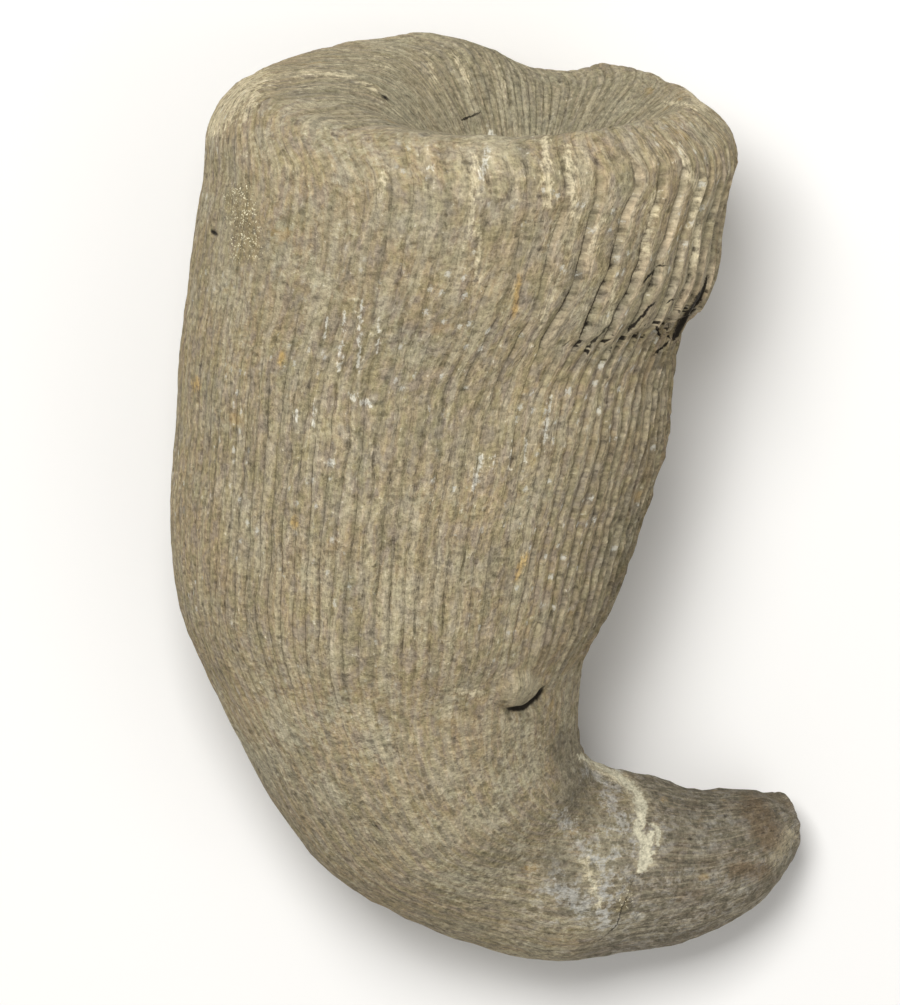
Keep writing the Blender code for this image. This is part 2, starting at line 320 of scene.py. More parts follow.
# Marks on the upper face, by kind: where each starts and ends (x, y, as seen from above with the
# horn's lower end tipped up by 6 degrees), and how wide it reaches.
SEEN_TILT = math.radians(6.0)
SEEN_HEIGHT = 10.0  # at which the tilt moves nothing
MARKS = {
    "white": (
        (-6.7, 11.0, -6.9, 7.4, 0.13),
        (-7.6, 10.2, -7.9, 7.4, 0.13),
        (-8.5, 10.1, -8.7, 8.9, 0.10),
        (-5.8, 10.2, -5.9, 8.2, 0.09),
        (-7.2, 5.9, -6.4, 5.6, 0.20),
        (-10.2, 5.2, -10.2, 4.8, 0.14),
        (-9.2, 5.5, -9.3, 4.3, 0.10),
        (-0.5, 2.9, -0.9, 0.8, 0.16),
        (0.2, 2.9, 0.1, 2.3, 0.13),
        (1.1, 3.7, 1.0, 2.5, 0.09),
        (1.9, 3.7, 1.8, 2.6, 0.09),
        (3.2, 5.9, 2.8, 3.4, 0.11),
        (-15.0, 0.5, -15.0, 0.3, 0.16),
        (0.3, 20.5, 0.1, 19.9, 0.26),
        (-3.2, 17.9, -3.1, 17.8, 0.20),
        (-0.2, 18.8, -0.5, 17.2, 0.20),
        (-8.3, 2.6, -8.3, 2.0, 0.14),
        (-9.3, -6.0, -9.3, -6.2, 0.14),
        (6.4, -14.0, 7.3, -14.5, 0.14),
    ),
    "cream": (
        (-5.3, 17.9, -5.8, 16.4, 0.13),
        (5.8, 15.2, 5.1, 13.3, 0.20),
        (8.6, 16.4, 8.1, 13.3, 0.30),
        (2.8, 19.4, 3.0, 15.9, 0.28),
        (4.0, 18.9, 4.4, 15.3, 0.28),
        (10.9, 17.4, 10.8, 13.0, 0.30),
        (9.9, 19.2, 10.6, 17.4, 0.24),
        (-0.8, 18.4, -1.0, 14.2, 0.20),
        (-0.5, 14.5, -0.8, 11.8, 0.14),
        (6.6, 12.2, 6.2, 9.8, 0.18),
        (3.5, 12.0, 2.6, 9.6, 0.16),
        (10.6, 22.7, 11.4, 21.5, 0.30),
        (9.2, 22.0, 11.0, 21.4, 0.20),
        (-1.8, 24.7, -1.1, 23.1, 0.20),
        (-3.3, 24.8, -3.1, 23.4, 0.16),
        (0.9, 23.4, 0.7, 22.7, 0.16),
        (-14.7, 20.5, -12.6, 23.3, 0.95),
        (-10.5, 23.5, -7.6, 23.4, 0.16),
        (-7.6, 23.4, -5.9, 22.4, 0.16),
        (-5.9, 24.8, -5.5, 23.7, 0.18),
        (-12.3, 22.4, -13.1, 20.6, 0.30),
        (-1.6, -9.7, -0.4, -9.9, 0.25),
        (16.5, -18.0, 15.7, -19.2, 0.60),
        (5.6, -14.0, 7.5, -15.0, 0.34),
        (5.1, -19.0, 6.1, -21.9, 0.30),
    ),
    "ochre": (
        (-15.6, 6.8, -15.6, 6.5, 0.34),
        (-10.3, -0.7, -10.3, -0.8, 0.34),
        (1.5, 12.1, 1.2, 10.2, 0.20),
        (-10.9, 8.2, -11.0, 7.8, 0.24),
        (1.9, -2.4, 1.4, -3.6, 0.24),
        (9.6, -15.9, 9.8, -16.4, 0.20),
    ),
    "brown": (
        (14.6, -16.6, 15.5, -18.2, 1.00),
        (13.6, -19.8, 15.0, -20.0, 0.60),
    ),
    "dark": (
        (-5.75, 22.25, -5.6, 22.15, 0.13),
        (-14.7, 14.8, -14.2, 14.3, 0.10),
        (-6.1, -17.3, -6.1, -17.2, 0.16),
    ),
    "glint": (
        (-13.2, 16.4, -12.8, 13.8, 0.85),
        (7.75, -20.9, 7.3, -21.8, 0.30),
    ),
    "shade": (
        (4.2, -12.8, 5.2, -16.5, 1.30),
        (3.6, -19.0, 4.6, -21.5, 1.20),
        (8.85, -17.6, 8.9, -18.0, 0.25),
    ),
    "haze": (
        (5.4, -14.3, 7.2, -15.3, 0.55),
        (6.4, -15.6, 7.4, -17.2, 0.60),
        (4.0, -16.6, 5.4, -19.0, 0.60),
        (3.9, -20.6, 6.2, -22.6, 0.90),
        (6.6, -19.6, 6.2, -21.4, 0.50),
    ),
}

# Bluish white clouds the stone about here.
CLOUD_AT = (6.0, -19.5, 8.0)
CLOUD_CORE = 2.1
CLOUD_REACH = 7.0

# Lines drawn across the ridges, from point to point (x, y, seen as the marks are), with their
# width at each point.
VEINS = (
    (
        (4.9, -13.5, 0.10), (6.0, -14.1, 0.13), (7.1, -14.7, 0.16), (7.95, -15.4, 0.22),
        (8.35, -16.2, 0.36), (8.3, -17.1, 0.28), (7.95, -17.6, 0.14),
    ),
    ((7.95, -17.6, 0.14), (8.45, -18.2, 0.28), (8.6, -18.9, 0.42), (8.3, -19.7, 0.22)),
    ((8.8, -17.2, 0.08), (9.25, -17.6, 0.14), (9.2, -18.3, 0.12)),
    ((5.25, -19.2, 0.04), (5.6, -20.4, 0.07), (6.1, -21.8, 0.06)),
)
CRACKS = (
    (
        (8.0, -19.5, 0.02), (7.75, -20.6, 0.035), (7.3, -21.7, 0.045), (6.95, -22.8, 0.045),
        (5.8, -23.9, 0.03),
    ),
    ((-1.4, 21.1, 0.06), (-0.5, 21.6, 0.04), (0.4, 22.1, 0.03)),
    (
        (11.6, 12.4, 0.05), (11.25, 11.5, 0.13), (10.8, 10.8, 0.18), (10.25, 10.0, 0.2),
        (9.85, 9.2, 0.18),
    ),
    ((8.7, 12.75, 0.03), (8.95, 12.9, 0.06), (9.3, 12.85, 0.03)),
    ((8.05, 11.9, 0.05), (8.25, 12.25, 0.07), (8.6, 12.55, 0.04)),
    ((9.3, 10.9, 0.05), (9.7, 11.1, 0.05)),
    (
        (7.3, 9.5, 0.07), (7.6, 9.8, 0.09), (7.95, 10.15, 0.06), (8.2, 10.55, 0.08),
        (8.6, 10.9, 0.05),
    ),
    ((8.8, 9.6, 0.08), (8.95, 9.3, 0.09)),
    ((8.7, 8.2, 0.04), (9.1, 8.6, 0.08), (9.5, 8.9, 0.06)),
    ((5.1, 8.6, 0.04), (5.55, 8.95, 0.05), (5.95, 9.4, 0.04), (6.3, 9.8, 0.04)),
    ((3.8, 8.6, 0.04), (4.3, 8.9, 0.03)),
)
LINE_FADE = 0.25  # how far a line runs on beyond its last point
LINE_CLEAR = 0.15  # how far from it nothing of it is left
STRAY = 0.8  # how far it strays to either side


def column_ridges(count):
    """Each point's place round a ring, counted in ridges."""
    across = ACROSS_A_RIDGE if count == RIDGES * len(ACROSS_A_RIDGE) else ACROSS_A_RIDGE[::2]
    return np.array([ridge + share for ridge in range(RIDGES) for share in across])


def ring_size(place):
    full = RIDGES * len(ACROSS_A_RIDGE)
    return full if place < HALVED_FROM else full // 2


def ledge_place(angles):
    """Where the ragged ledge below the flare runs."""
    angles = turned(angles)
    ragged = LEDGE_RAGGED * field(rows_of(angles / LEDGE_JAG), 1.0, 21)
    ragged = ragged * smooth_step(angles, 6.0, 20.0)
    slant = LEDGE_SLANT * smooth_step(angles, 0.0, 60.0) + LEDGE_HANGS * bell(angles, -4.0, 24.0)
    return FLARE_ENDS + slant + ragged


def above_ledge(place, angles):
    """1 on the flare, 0 below the ledge that ends it."""
    return smooth_fall(place - ledge_place(angles), 0.0, LEDGE_STEP)


def torn_share(place, angles):
    """How torn the ridges are, just below the ledge on the inner side."""
    below = (place - ledge_place(angles) - TORN_BELOW) / TORN_REACH
    return np.exp(-(below**2)) * span(angles, 18.0, 52.0, 14.0)


def leaf_share(place, angles):
    """1 where the ridges stand out as broad leaves, on the upper face of the flare."""
    starts = LEAF_STARTS - LEAF_EARLIER * smooth_step(turned(angles), 10.0, 60.0)
    grown = smooth_step(place - starts, -0.6, 0.3)
    return span(angles, -25.0, 58.0, 26.0) * grown * above_ledge(place, angles)


def blade_share(place, angles):
    """How blade-like the ridges are: leaves on the flare, and less below it on the inner side."""
    on_wall = stretch(place, -1.5, 0.5, 4.0, 7.0)
    inner = span(angles, -60.0, 40.0, 34.0) * 0.8
    plain = span(angles, 10.0, 80.0, 50.0) * 0.22 * smooth_fall(place, 1.4, 4.0)
    return np.maximum(leaf_share(place, angles), on_wall * np.maximum(inner, plain))


def faded_share(place, angles):
    """How far the ridges are worn away: round the bend, on the outer shoulder and in the pit."""
    bend = smooth_step(place - 1.2 * bell(angles, 190.0, 80.0), 4.2, 7.0)
    shoulder = bell(angles, 132.0, 46.0) * smooth_fall(place, 0.6, 2.4) * 0.85
    pit = 0.8 * smooth_fall(place, -3.2, -1.5)
    return np.maximum(np.maximum(bend, shoulder), pit)


def tone_and_painted_shade(place, angles):
    """Brightness of the colour: pale at the rim and waist, dark at the tip, and darkened by painted
    shade on the inner side and down round the bend.
    """
    rim = RIM_PALER * stretch(place, -4.6, -3.2, -1.2, 1.6)
    waist = WAIST_PALER * bell(angles, 112.0, 70.0) * stretch(place, 4.2, 5.2, 6.0, 7.6)
    neck = NECK_DARKER * bell(angles, 98.0, 75.0) * stretch(place, -0.8, 0.4, 1.2, 2.8)
    bend = BEND_PAINTED_SHADE * smooth_step(place, 6.6, 9.2)
    inner = INNER_PAINTED_SHADE * span(angles, -70.0, 26.0, 60.0) * smooth_step(place, 1.3, 3.6)
    inner_bend = INNER_BEND_PAINTED_SHADE * span(angles, -60.0, 80.0, 40.0)
    inner_bend = inner_bend * smooth_step(place, 7.8, 9.4)
    tip = TIP_DARKER * smooth_step(place, 11.0, 12.5)
    return 1.0 + rim + waist - neck - bend - inner - inner_bend - tip


def rough_share(place, angles, blade):
    """How pitted and broken the surface is, most of all down the inner side."""
    inner = span(angles, -70.0, 18.0, 36.0) * stretch(place, 1.0, 2.0, 8.0, 9.0)
    bend = 0.9 * smooth_step(place, 7.5, 9.0)
    return np.maximum(np.maximum(blade, inner), bend)


def lengths_along(horn, places):
    """Distance of each ring from the first, along the middle of the upper face."""
    points = np.array([horn.ring(place, np.array([90.0]))[0] for place in places])
    steps = np.linalg.norm(np.diff(points, axis=0), axis=1)
    return np.concatenate(([0.0], np.cumsum(steps)))


def lean_of_ridges(place, angles):
    """Degrees by which the ridges lean to the inner side, and loop round over the rim."""
    swept = SWEEP * smooth_fall(place, -1.0, SWEEP_STARTS)
    looped = LOOP * smooth_fall(place, -5.0, -0.5)
    sweep = swept * bell(angles, SWEEP_ANGLE, SWEEP_SPREAD)
    return sweep - looped * bell(angles, LOOP_ANGLE, LOOP_SPREAD)


def ridge_angles(place, along, columns, wander):
    """Degrees round the section at which each point lies, once the ridges have wandered."""
    plain = 360.0 * columns / RIDGES
    edges = np.arange(RIDGES, dtype=float)
    edge_angles = 360.0 * edges / RIDGES
    turn = np.radians(edge_angles)
    leaf = leaf_share(place, edge_angles)
    here = rows_of(np.cos(turn) * 8, np.sin(turn) * 8, along * 0.30)
    alone = rows_of(edges * EDGES_APART, along / WANDER_LENGTH)
    lobes = field(alone, 1.0, 2) * (1.0 + 0.6 * leaf)
    nicks = field(alone * (1.0, 2.7, 1.0), 1.0, 3) * (0.5 + 0.5 * leaf)
    shift = field(here, 3.0, 1) * 0.4 + wander * (lobes + nicks)
    neighbours = (np.roll(shift, 1) + np.roll(shift, -1)) / 2
    shift = np.where(edges % 2 == 1, shift + (neighbours - shift) * leaf, shift)
    low = np.floor(columns).astype(int)
    share = columns - low
    own = shift[low % RIDGES] * (1 - share) + shift[(low + 1) % RIDGES] * share
    calm = smooth_step(place, -6.5, -2.0)
    return plain + own * calm * 360.0 / RIDGES - lean_of_ridges(place, plain)


def plain_groove(place, groove, in_pit, worn, faded):
    """Depth of the groove beside a plain ridge at one place."""
    depth = groove + (worn - groove) * faded
    depth = depth + (in_pit - depth) * smooth_fall(place, -4.5, -1.0)
    return depth * smooth_step(place, -7.0, -5.0)


def one_sided(share, peak, power):
    """A crest that rises slowly to 1 at its peak and drops steeply beyond it."""
    return np.where(share < peak, (share / peak) ** power, (1.0 - share) / (1.0 - peak))


def ridge_height(along, columns, blade, leaf, depth, blade_depth):
    """Depth below the crests (0 or less) and how far each point leans over, for one ring."""
    ridge = np.floor(columns)
    share = columns - ridge
    pair = (ridge % 2 + share) / 2
    own = rows_of(ridge * RIDGES_APART, along / VIGOUR_LENGTH)
    paired = rows_of(np.floor(ridge / 2) * LEAVES_APART, along / VIGOUR_LENGTH * 1.5)
    vigour = 1.0 + 0.8 * field(own, 1.0, 4) + 0.5 * field(own * (1.0, 3.1, 1.0), 1.0, 12)
    bold = 1.0 + 0.5 * field(paired, 1.0, 10)
    crest = np.sin(math.pi * share) ** CREST_ROUNDNESS
    plain = -depth * (1.0 - crest) * np.clip(vigour, 0.15, 1.7)
    blade_edge = one_sided(share, 0.88, 0.75) * np.clip(vigour, 0.3, 1.2)
    blades = -blade_depth * (1.0 - blade_edge) * BLADE_SHARE
    leaf_edge = one_sided(pair, 0.96, 0.55) * np.clip(bold, 0.75, 1.2)
    leaves = -blade_depth * (1.0 - leaf_edge)
    height = plain * (1 - blade) + (blades * (1 - leaf) + leaves * leaf) * blade
    lean = smooth_step(share, 0.35, 0.92) * (share < 0.99) * np.clip(vigour, 0.3, 1.3)
    leaf_lean = smooth_step(pair, 0.4, 0.95) * (pair < 0.99) * np.clip(bold, 0.3, 1.5)
    return height, BLADE_LEAN * blade * (lean * (1 - leaf) + 1.5 * leaf_lean * leaf)


def surface_normals(horn, place, angles):
    """Outward normals of the plain form and the direction across the ridges, to the inner side."""
    turn_step, place_step = 0.5, 0.02
    low, high = max(place - place_step, RING_RUNS[0][0]), min(place + place_step, LAST)
    round_it = horn.ring(place, angles + turn_step) - horn.ring(place, angles - turn_step)
    along_it = horn.ring(high, angles) - horn.ring(low, angles)
    return unit(np.cross(round_it, along_it)), -unit(round_it)


# What the finish needs to know of a point: its traits, how much of each mark lies on it, the slow
# patches (name, size, octaves), its place beside the veins and cracks, and how far it faces up.
# The mesh carries them in bundles of three, and the last name only fills the last bundle.
TRAITS = tuple("hollow blade leaf gap faded tone wart scar tip pit torn_edge".split())
PATCHES = (
    ("warm", 6.0, 3),
    ("cool", 1.9, 4),
    ("dusty", 2.8, 5),
    ("clear", 3.0, 3),
    ("hazy", 2.2, 3),
    ("blue", 1.4, 3),
    ("rusty", 4.0, 2),
    ("stained", 2.6, 3),
)
PATCH_ROUGHNESS = 0.6
LINES = ("vein_side", "vein_width", "crack_side", "crack_width")
KNOWN = (*TRAITS, *MARKS, *(name for name, _, _ in PATCHES), *LINES, "upward", "tone")
BUNDLES = [KNOWN[first : first + 3] for first in range(0, len(KNOWN), 3)]


class Skin:
    """The points of the fine mesh, ring by ring, and what the finish needs to know of them."""

    def __init__(self, horn, shape):
        self.horn = horn
        self.shape = {name: getattr(shape, name) / MM for name in shape.__annotations__}
        self.wart_centre = horn.ring(WART_PLACE, np.array([WART_ANGLE]))[0]
        self.places = ring_places()
        self.along = lengths_along(horn, self.places)
        self.rings = []
        self.traits = {name: [] for name in TRAITS}
        pit_floor = horn.ring(self.places[0], np.array([0.0, 180.0])).mean(axis=0)
        self.add_middle(pit_floor - horn.calice_axis() * PIT_FLOOR_DIP)
        for place, along in zip(self.places, self.along):
            self.add_ring(place, along)
        self.add_break()
        self.along = np.concatenate(([0.0], self.along))

    def keep(self, points, **traits):
        self.rings.append(points)
        for name, values in self.traits.items():
            values.append(np.broadcast_to(traits[name], len(points)))

    def add_middle(self, point):
        plain = {name: 0.0 for name in TRAITS} | {"wart": WART_NEAR}
        at_tip = float(len(self.rings) > 1)
        self.keep(point[None], **{**plain, "tone": 1.0, "tip": at_tip, "pit": 1.0 - at_tip})

    def add_ring(self, place, along):
        shape = self.shape
        columns = column_ridges(ring_size(place))
        angles = ridge_angles(place, along, columns, shape["wander"])
        blade, leaf = blade_share(place, angles), leaf_share(place, angles)
        plain = self.horn.ring(place, angles)
        normals, across = surface_normals(self.horn, place, angles)
        faded = faded_share(place, angles)
        grooves = (shape["groove"], shape["pit_groove"], shape["worn_groove"])
        depth = plain_groove(place, *grooves, faded)
        height, lean = ridge_height(along, columns, blade, leaf, depth, shape["blade"])
        wart, off_wart, scar = self.wart(plain)
        height = height * smooth_step(off_wart, -0.25, 0.35)
        wear = smooth_step(plain[:, 2], WORN_BELOW, UNWORN_ABOVE)
        rim = stretch(place, -5.0, -3.6, -2.5, -1.0)
        rough = rough_share(place, angles, blade * (1.0 - 0.75 * leaf))
        rough = self.lumps(plain, rough, faded, leaf, rim)
        rise = (height + rough) * wear + wart + self.flare(place, angles)
        points = plain + normals * rise[:, None] + across * (lean * wear)[:, None]
        points[:, 2] = np.maximum(points[:, 2], 0.0)
        reach = shape["groove"] + (shape["blade"] - shape["groove"]) * blade
        hollow = np.clip(-height / reach, 0.0, 1.2)
        self.keep(
            points,
            hollow=hollow,
            blade=blade,
            leaf=leaf,
            # Where the painted shadow in the gaps between the leaves opens up.
            gap=leaf * smooth_step(place, 0.0, 1.1),
            faded=faded,
            tone=tone_and_painted_shade(place, angles),
            wart=np.minimum(off_wart, WART_NEAR),
            scar=scar,
            tip=smooth_step(place, 11.1, 11.7),
            pit=smooth_fall(place, -4.2, -2.6),
            torn_edge=torn_share(place, angles),
        )

    @staticmethod
    def lumps(points, rough, faded, leaf, rim):
        """Unevenness from swellings of several millimetres down to grains."""
        large = 0.16 * field(points, SWELLING, 5) + (0.08 + 0.09 * rim) * field(points, LUMP, 6)
        small = (0.05 + 0.08 * rough) * field(points, KNOB, 7) * (1.0 - 0.2 * faded)
        fine = (0.02 + 0.05 * rough) * field(points, GRIT, 11)
        return large + small * (1.0 - 0.5 * leaf) + fine * (1.0 - leaf)

    def flare(self, place, angles):
        grown = smooth_step(place, FLARE_STARTS, FLARE_ENDS) * above_ledge(place, angles)
        bevel = 1.0 - FLARE_BEVEL * smooth_step(place, FLARE_ENDS, FLARE_ENDS + LEDGE_HANGS)
        return self.shape["flare"] * grown * bevel * bell(angles, FLARE_ANGLE, FLARE_SPREAD)

    def wart(self, points):
        """Its height, how far each point is off its edge, and how far on the ditch's side."""
        radius = self.shape["wart_radius"]
        away = points - self.wart_centre
        near = np.clip(1.0 - (away**2).sum(axis=-1) / radius**2, 0.0, 1.0)
        under = away[:, 2] < -WART_NEAR
        away = away[:, :2] - WART_LEANS
        distance = np.where(under, radius + WART_NEAR, np.linalg.norm(away, axis=-1))
        facing = (away @ WART_DITCH_FACES) / np.maximum(distance, 1e-6)
        scar = smooth_step(facing, 0.30, 0.75) * ~under
        off_edge = distance - radius
        ditch = WART_DITCH_DEPTH * scar * np.exp(-((off_edge / WART_DITCH_WIDTH) ** 2))
        return WART_RISE * radius * near**WART_ROUNDNESS - ditch, off_edge, scar

    def add_break(self):
        """The blunt broken end beyond the last section."""
        last = self.rings[-1]
        middle = self.horn.middle(LAST)
        out = -self.horn.axis(LAST)
        traits = {name: values[-1] * BREAK_TRAITS for name, values in self.traits.items()}
        traits.update(tip=1.0, tone=BREAK_TONE, wart=WART_NEAR)
        for share, reach in BREAK_RINGS:
            points = middle + (last - middle) * share + out * reach
            rough = 0.22 * field(points, 1.3, 8) + 0.10 * field(points, 0.5, 9)
            self.keep(points + out * rough[:, None] * smooth_fall(share, 0.8, 1.05), **traits)
        self.add_middle(middle + out * BREAK_MIDDLE)
        beyond = self.along[-1] + np.cumsum(np.full(len(BREAK_RINGS) + 1, BREAK_STEP))
        self.along = np.concatenate((self.along, beyond))


class MeshPlan:
    """Faces between the rings, each corner with its place in ridges round and rings along."""

    def __init__(self, rings):
        self.sizes = [len(ring) for ring in rings]
        self.starts = np.concatenate(([0], np.cumsum(self.sizes)))
        self.faces, self.ridges, self.numbers = [], [], []
        for number in range(len(rings) - 1):
            self.join(number)

    def add(self, *corners):
        """Corners are (ring, step round it, place in ridges), clockwise as seen from outside."""
        face = []
        for number, step, ridges in reversed(corners):
            face.append(int(self.starts[number] + step % self.sizes[number]))
            self.ridges.append(ridges)
            self.numbers.append(number)
        self.faces.append(tuple(face))

    def join(self, number):
        above, below = self.sizes[number], self.sizes[number + 1]
        after = number + 1
        count = max(above, below)
        values = np.append(column_ridges(count), RIDGES)
        halved = above == 2 * below
        for step in range(0, count, 2 if halved else 1):
            left, right = values[step], values[step + 1]
            between = (left + right) / 2
            if above == 1:
                self.add((number, 0, between), (after, step, left), (after, step + 1, right))
            elif below == 1:
                self.add((number, step, left), (after, 0, between), (number, step + 1, right))
            elif halved:
                far = values[step + 2]
                half = step // 2
                near, last = (number, step + 1, right), (number, step + 2, far)
                self.add((number, step, left), (after, half, left), near)
                self.add(near, (after, half, left), (after, half + 1, far), last)
            else:
                first, second = (after, step, left), (after, step + 1, right)
                self.add((number, step, left), first, second, (number, step + 1, right))


def horn_mesh(skin):
    """The closed mesh, with its traits, its marks and its maps."""
    plan = MeshPlan(skin.rings)
    mesh = bpy.data.meshes.new("horn_coral_skin")
    points = np.concatenate(skin.rings)
    low, high = (np.array(corner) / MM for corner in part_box(NODE))
    middle = (low + high) / 2 - (points.min(axis=0) + points.max(axis=0)) / 2
    points[:, :2] += middle[:2]
    mesh.from_pydata((points * MM).tolist(), [], plan.faces)
    write_maps(mesh, np.array(plan.ridges), skin.along[np.array(plan.numbers)])
    traits = {name: np.concatenate(values) for name, values in skin.traits.items()}
    traits = {**traits, **patches_on(points), **marks_on(mesh, points)}
    for names in BUNDLES:
        made = mesh.attributes.new("_".join(names), "FLOAT_VECTOR", "POINT")
        bundle = np.stack([traits[name] for name in names], axis=1)
        made.data.foreach_set("vector", bundle.astype(np.float32).ravel())
    mesh.shade_smooth()
    return mesh


def marks_on(mesh, points):
    """How much of each kind of mark lies on each point, and where it is beside the lines."""
    normals = np.empty(len(points) * 3, np.float32)
    mesh.vertex_normals.foreach_get("vector", normals)
    facing = smooth_step(normals.reshape(-1, 3)[:, 2], -0.25, 0.0)
    raised = (points[:, 2] - SEEN_HEIGHT) * math.tan(SEEN_TILT)
    seen = np.stack((points[:, 0], points[:, 1] - raised), axis=1)
    marks = {"upward": facing, **{kind: np.zeros(len(points)) for kind in MARKS}}
    for kind, rows in MARKS.items():
        for *ends, reach in rows:
            _, distance, _ = beside_segment(seen, ends[:2], ends[2:])
            here = np.exp(-((distance / reach) ** 2)) * facing
            marks[kind] = np.maximum(marks[kind], here)
    marks["vein_side"], marks["vein_width"] = beside_lines(seen, VEINS)
    marks["crack_side"], marks["crack_width"] = beside_lines(seen, CRACKS)
    return marks


def beside_segment(seen, start, end):
    """How far along a segment each point is (0 to 1), how far from it, and how far to its side."""
    start, end = np.array(start), np.array(end)
    run = end - start
    length = np.linalg.norm(run)
    away = seen - start
    share = away @ run / length**2
    distance = np.linalg.norm(away - np.clip(share, 0.0, 1.0)[:, None] * run, axis=1)
    return share, distance, (away[:, 0] * run[1] - away[:, 1] * run[0]) / length


def beside_lines(seen, lines):
    """How far each point lies to the side of the nearest line, and how wide that line is there."""
    nearest = np.full(len(seen), np.inf)
    side, width = np.zeros(len(seen)), np.zeros(len(seen))
    for line in lines:
        for (*start, first), (*end, second) in zip(line, line[1:]):
            share, distance, across = beside_segment(seen, start, end)
            held = np.clip(share, 0.0, 1.0)
            past = np.abs(share - held) * math.dist(start, end)
            wide = (first + (second - first) * held) * smooth_fall(past, 0.0, LINE_FADE)
            wide = np.where(distance < 3.0 * wide + LINE_CLEAR, wide, 0.0)
            closer = distance < nearest
            nearest = np.where(closer, distance, nearest)
            side, width = np.where(closer, across, side), np.where(closer, wide, width)
    return side, width


def patches_on(points):
    """Slow changes of the stone, each from 0 to 1."""
    patches = {}
    for seed, (name, size, octaves) in enumerate(PATCHES):
        shift = Vector((seed * 23.1, seed * 7.7, seed * 15.3))
        full = sum(PATCH_ROUGHNESS**step for step in range(octaves))
        fading = -math.log2(PATCH_ROUGHNESS)
        spots = [Vector(point) + shift for point in points / size]
        values = [noise.fractal(spot, fading, 2.0, octaves) for spot in spots]
        patches[name] = 0.5 + 0.5 * np.array(values) / full
    return patches


def write_maps(mesh, ridges, along):
    """The map that the finish is drawn on (ridges round, millimetres along), and an even one."""
    finish_map = mesh.attributes.new("ridge_map", "FLOAT_VECTOR", "CORNER")
    finish_map.data.foreach_set("vector", rows_of(ridges, along).astype(np.float32).ravel())
    low, high = along.min(), along.max()
    margin = 0.004
    even = np.stack((ridges / RIDGES, (along - low) / (high - low)), axis=1)
    even = even * (1 - 2 * margin) + margin
    layer = mesh.uv_layers.new(name="OFBake")
    layer.data.foreach_set("uv", even.astype(np.float32).ravel())


def math_method(operation):
    """A method of a value that adds one Math node to its graph."""

    def method(self, *others):
        return self.graph.node("ShaderNodeMath", {"operation": operation}, (self, *others))

    return method


class Value:
    """A socket whose arithmetic adds Math nodes to its graph."""

    def __init__(self, graph, socket):
        self.graph = graph
        self.socket = socket

    __add__ = __radd__ = math_method("ADD")
    __sub__ = math_method("SUBTRACT")
    __mul__ = __rmul__ = math_method("MULTIPLY")
    __truediv__ = math_method("DIVIDE")
    __abs__ = math_method("ABSOLUTE")
    at_most = math_method("MINIMUM")
    at_least = math_method("MAXIMUM")
    fraction = math_method("FRACT")

    def __rsub__(self, other):
        return self.graph.node("ShaderNodeMath", {"operation": "SUBTRACT"}, (other, self))

    def between(self, low, high):
        """0 at low, 1 at high, smooth between."""
        settings = {"interpolation_type": "SMOOTHSTEP"}
        inputs = {"Value": self, "From Min": low, "From Max": high}
        return self.graph.node("ShaderNodeMapRange", settings, inputs)

    def below(self, low, high):
        """1 at low, 0 at high, smooth between."""
        return 1.0 - self.between(low, high)


class Graph:
    """One material's nodes."""

    def __init__(self, name):
        self.material = bpy.data.materials.new(name)
        self.material.use_nodes = True
        self.tree = self.material.node_tree
        self.shader = self.tree.nodes["Principled BSDF"]

    def node(self, kind, settings=None, inputs=(), output=0):
        made = self.tree.nodes.new(kind)
        for name, value in (settings or {}).items():
            setattr(made, name, value)
        pairs = inputs.items() if isinstance(inputs, dict) else enumerate(inputs)
        for key, value in pairs:
            self.feed(made.inputs[key], value)
        return Value(self, made.outputs[output])

    def feed(self, socket, value):
        if isinstance(value, Value):
            self.tree.links.new(value.socket, socket)
        else:
            socket.default_value = value

    def set(self, name, value):
        self.feed(self.shader.inputs[name], value)

    def vector(self, x, y, z=0.0):
        return self.node("ShaderNodeCombineXYZ", {}, (x, y, z))

    def parts(self, vector):
        """The three parts of a vector."""
        made = self.node("ShaderNodeSeparateXYZ", {}, (vector,))
        return [Value(self, socket) for socket in made.socket.node.outputs]

    def noise(self, vector, size, detail=2.0, roughness=0.5, dimensions="3D"):
        """0 to 1, with lumps of about this size in the vector's own unit."""
        inputs = {"Vector": vector, "Scale": 1.0 / size, "Detail": detail, "Roughness": roughness}
        return self.node("ShaderNodeTexNoise", {"noise_dimensions": dimensions}, inputs)

    def cells(self, vector, size, output="Distance"):
        inputs = {"Vector": vector, "Scale": 1.0 / size}
        return self.node("ShaderNodeTexVoronoi", {"voronoi_dimensions": "2D"}, inputs, output)

    def mix(self, factor, first, second, blend="MIX"):
        settings = {"data_type": "RGBA", "blend_type": blend, "clamp_factor": True}
        return self.node("ShaderNodeMix", settings, {0: factor, 6: first, 7: second}, 2)

    def attribute(self, name):
        """The three parts of what the mesh carries under this name."""
        return self.parts(self.node("ShaderNodeAttribute", {"attribute_name": name}, (), "Vector"))


